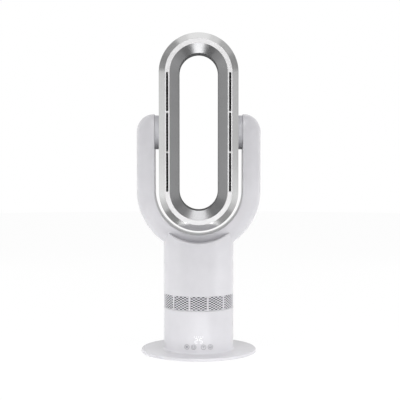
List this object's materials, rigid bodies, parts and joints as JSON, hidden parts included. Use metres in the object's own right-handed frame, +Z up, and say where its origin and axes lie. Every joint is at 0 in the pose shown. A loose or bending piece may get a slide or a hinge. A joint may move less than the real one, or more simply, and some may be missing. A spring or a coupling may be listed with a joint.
{
  "type": "tower fan heater",
  "caption": "Bladeless tower fan heater: turning column on a round stand, fork with hollow pivots, tilting racetrack air loop with slots.",
  "frame": {"origin": "on the floor, under the column's axis", "axes": "+Z up, -Y is the front with the keys and the slots, +X is the viewer's right"},
  "size_m": [0.312, 0.29, 0.8],
  "materials": {
    "column_plastic": "satin painted ABS, light warm silver",
    "white_plastic": "moulded ABS, matt",
    "silver_trim": "satin silver lacquer",
    "satin_face": "satin pale silver",
    "dark_chrome": "dark grey bright plating",
    "pivot_metal": "satin",
    "grille_plastic": "moulded ABS, matt",
    "bearing_plastic": "acetal, natural",
    "steel": "zinc plated",
    "motor_case": "pressed steel",
    "rubber": "matt",
    "board": "circuit board, solder mask",
    "components": "moulded parts",
    "light_guide": "clear diffusing plastic",
    "impeller_plastic": "glass filled nylon",
    "heater_metal": "finned aluminium",
    "heater_frame": "heat resistant moulding"
  },
  "bodies": {
    "base": {"base_disc": "column_plastic", "base_weight": "steel", "rubber_feet": "rubber", "base_screws": "steel", "lower_shell": "column_plastic", "power_board": "board", "board_components": "components", "small_screws": "steel", "display_board": "board", "key_switches": "components", "digit_lightbox": "white_plastic", "digit_segments": "light_guide", "indicator_lights": "light_guide", "cord_gland": "rubber", "gland_nut": "bearing_plastic", "cord_clamp": "white_plastic", "bearing_deck": "white_plastic", "bearing_ring": "bearing_plastic", "swing_motor": "motor_case"},
    "swing_pinion": {"output_shaft": "steel", "drive_pinion": "bearing_plastic"},
    "head": {"turntable": "white_plastic", "ring_gear": "bearing_plastic", "hub_retainer": "bearing_plastic", "intake_grille": "grille_plastic", "frame_posts": "white_plastic", "inlet_ring": "white_plastic", "impeller_shroud": "white_plastic", "motor_bucket": "white_plastic", "fan_motor": "motor_case", "air_seal": "rubber", "upper_body": "column_plastic", "fork_bracket": "white_plastic", "fork_screws": "steel", "fork_front_shell": "column_plastic", "fork_rear_shell": "column_plastic", "fork_joint_screws": "steel", "pivot_bushes": "bearing_plastic", "friction_rings": "bearing_plastic"},
    "fan": {"impeller": "impeller_plastic", "motor_shaft": "steel", "impeller_nut": "steel"},
    "loop": {"trunnion_right": "pivot_metal", "trunnion_left": "pivot_metal", "trunnion_clamps": "bearing_plastic", "pivot_retainers": "bearing_plastic", "loop_outer_bezel": "silver_trim", "loop_face_panel": "satin_face", "loop_inner_ring": "dark_chrome", "loop_rear_shell": "white_plastic", "loop_screws": "steel", "nozzle_right": "white_plastic", "nozzle_left": "white_plastic", "heater_cores": "heater_metal", "heater_frames": "heater_frame", "thermal_cutouts": "motor_case"},
    "key_mode": {"key_mode": "column_plastic"},
    "key_timer": {"key_timer": "column_plastic"},
    "key_swing": {"key_swing": "column_plastic"},
    "key_power": {"key_power": "column_plastic"}
  },
  "joints": [
    {"name": "swivel", "type": "hinge", "parent": "base", "child": "head", "pos_m": [0, 0, 0.1], "axis": [0, 0, 1], "range_deg": [-40, 40]},
    {"name": "pinion_spin", "type": "hinge", "parent": "base", "child": "swing_pinion", "pos_m": [0, 0.05625, 0.1], "axis": [0, 0, 1], "range_deg": [-160, 160]},
    {"name": "fan_spin", "type": "hinge", "parent": "head", "child": "fan", "pos_m": [0, 0, 0.178], "axis": [0, 0, 1], "continuous": true},
    {"name": "head_tilt", "type": "hinge", "parent": "head", "child": "loop", "pos_m": [0, 0, 0.55412], "axis": [1, 0, 0], "range_deg": [-45, 45]},
    {"name": "key_mode_press", "type": "slide", "parent": "base", "child": "key_mode", "axis": [0, 1, 0], "range_m": [0, 0.001], "stiffness_N_per_m": 400, "springref_m": -0.0004},
    {"name": "key_timer_press", "type": "slide", "parent": "base", "child": "key_timer", "axis": [0, 1, 0], "range_m": [0, 0.001], "stiffness_N_per_m": 400, "springref_m": -0.0004},
    {"name": "key_swing_press", "type": "slide", "parent": "base", "child": "key_swing", "axis": [0, 1, 0], "range_m": [0, 0.001], "stiffness_N_per_m": 400, "springref_m": -0.0004},
    {"name": "key_power_press", "type": "slide", "parent": "base", "child": "key_power", "axis": [0, 1, 0], "range_m": [0, 0.001], "stiffness_N_per_m": 400, "springref_m": -0.0004}
  ],
  "couplings": [
    {"joint": "pinion_spin", "follows": "swivel", "ratio": -4}
  ]
}
